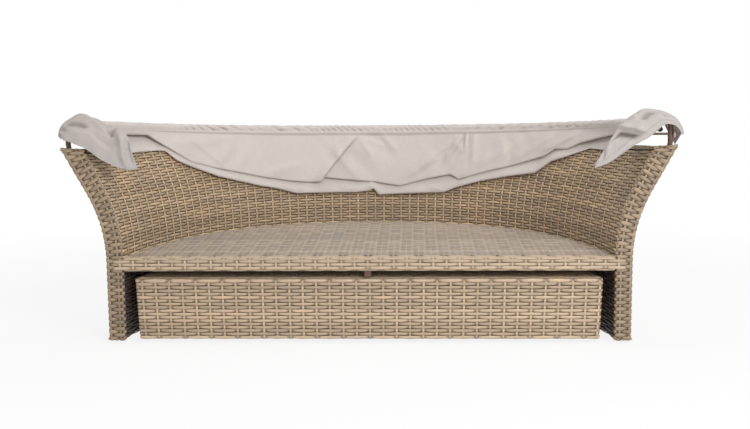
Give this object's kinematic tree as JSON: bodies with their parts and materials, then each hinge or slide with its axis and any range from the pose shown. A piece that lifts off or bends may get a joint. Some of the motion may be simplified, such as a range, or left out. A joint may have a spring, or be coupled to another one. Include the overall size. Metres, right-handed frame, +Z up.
{
  "type": "outdoor daybed with canopy",
  "caption": "Wide curved outdoor daybed in woven resin wicker on a tube frame, with a footstool that slides out from under the seat and a fabric canopy folded back on two bows.",
  "frame": {"origin": "on the floor under the middle of the whole body's box, sides and depth", "axes": "+Z up, open front towards -Y, +X towards the right arm seen from the front"},
  "size_m": [2.0722, 0.9666, 0.7743],
  "materials": {
    "wall_wicker": "flat half-round resin strands, variegated honey and grey-beige, woven",
    "seat_wicker": "finer woven resin strands, greyer than the walls",
    "stool_wicker": "woven resin strands, a little paler than the walls",
    "lining_wicker": "woven resin strands in deep shade",
    "painted_tube": "brown powder coat, satin",
    "foot_plastic": "moulded, matt",
    "washer": "moulded, semi-gloss",
    "canopy_cloth": "plain woven polyester, matt, greige"
  },
  "bodies": {
    "root": {"base_tube": "painted_tube", "rim_tube": "painted_tube", "back_rib_1": "painted_tube", "back_rib_2": "painted_tube", "back_rib_3": "painted_tube", "back_rib_4": "painted_tube", "back_rib_5": "painted_tube", "arm_upright_left": "painted_tube", "arm_upright_right": "painted_tube", "seat_beam": "painted_tube", "front_rail_tube": "painted_tube", "seat_joist_1": "painted_tube", "seat_joist_2": "painted_tube", "seat_joist_3": "painted_tube", "seat_joist_4": "painted_tube", "seat_deck": "seat_wicker", "front_rail_wrap": "wall_wicker", "rail_bracket": "painted_tube", "inner_wall_weave": "wall_wicker", "outer_wall_weave": "wall_wicker", "lower_lining": "lining_wicker", "base_wrap": "wall_wicker", "arm_front_left": "wall_wicker", "arm_front_right": "wall_wicker", "foot_front_left": "foot_plastic", "foot_back_left": "foot_plastic", "foot_back_right": "foot_plastic", "foot_front_right": "foot_plastic", "rim_wrap": "wall_wicker", "canopy_post_left": "painted_tube", "pivot_bolt_left": "painted_tube", "pivot_washer_left": "washer", "canopy_post_right": "painted_tube", "pivot_bolt_right": "painted_tube", "pivot_washer_right": "washer", "rear_panel": "canopy_cloth"},
    "middle_bow_body": {"middle_bow": "painted_tube", "middle_bow_sleeve": "canopy_cloth"},
    "front_bow_body": {"front_bow": "painted_tube", "front_panel": "canopy_cloth", "corner_flap_left": "canopy_cloth", "corner_flap_right": "canopy_cloth"},
    "footstool_body": {"stool_front_weave": "stool_wicker", "stool_side_weave": "stool_wicker", "stool_top_weave": "stool_wicker", "stool_top_ring": "painted_tube", "stool_top_bar": "painted_tube", "stool_base_ring": "painted_tube", "stool_base_bar": "painted_tube", "stool_leg_1": "painted_tube", "stool_leg_2": "painted_tube", "stool_leg_3": "painted_tube", "stool_leg_4": "painted_tube", "stool_foot_1": "foot_plastic", "stool_foot_2": "foot_plastic", "stool_foot_3": "foot_plastic", "stool_foot_4": "foot_plastic", "stool_joist_left": "painted_tube", "stool_joist_right": "painted_tube"}
  },
  "joints": [
    {"name": "middle_bow_hinge", "type": "hinge", "parent": "root", "child": "middle_bow_body", "pos_m": [0, -0.43615, 0.705], "axis": [1, 0, 0], "range_deg": [0, 55]},
    {"name": "front_bow_hinge", "type": "hinge", "parent": "middle_bow_body", "child": "front_bow_body", "pos_m": [0, -0.43615, 0.705], "axis": [1, 0, 0], "range_deg": [0, 55], "deforming": ["corner_flap_left", "corner_flap_right"]},
    {"name": "footstool_slide", "type": "slide", "parent": "root", "child": "footstool_body", "axis": [0, -1, 0], "range_m": [0, 0.78]}
  ],
  "couplings": [
    {"joint": "front_bow_hinge", "follows": "middle_bow_hinge", "ratio": 1}
  ]
}
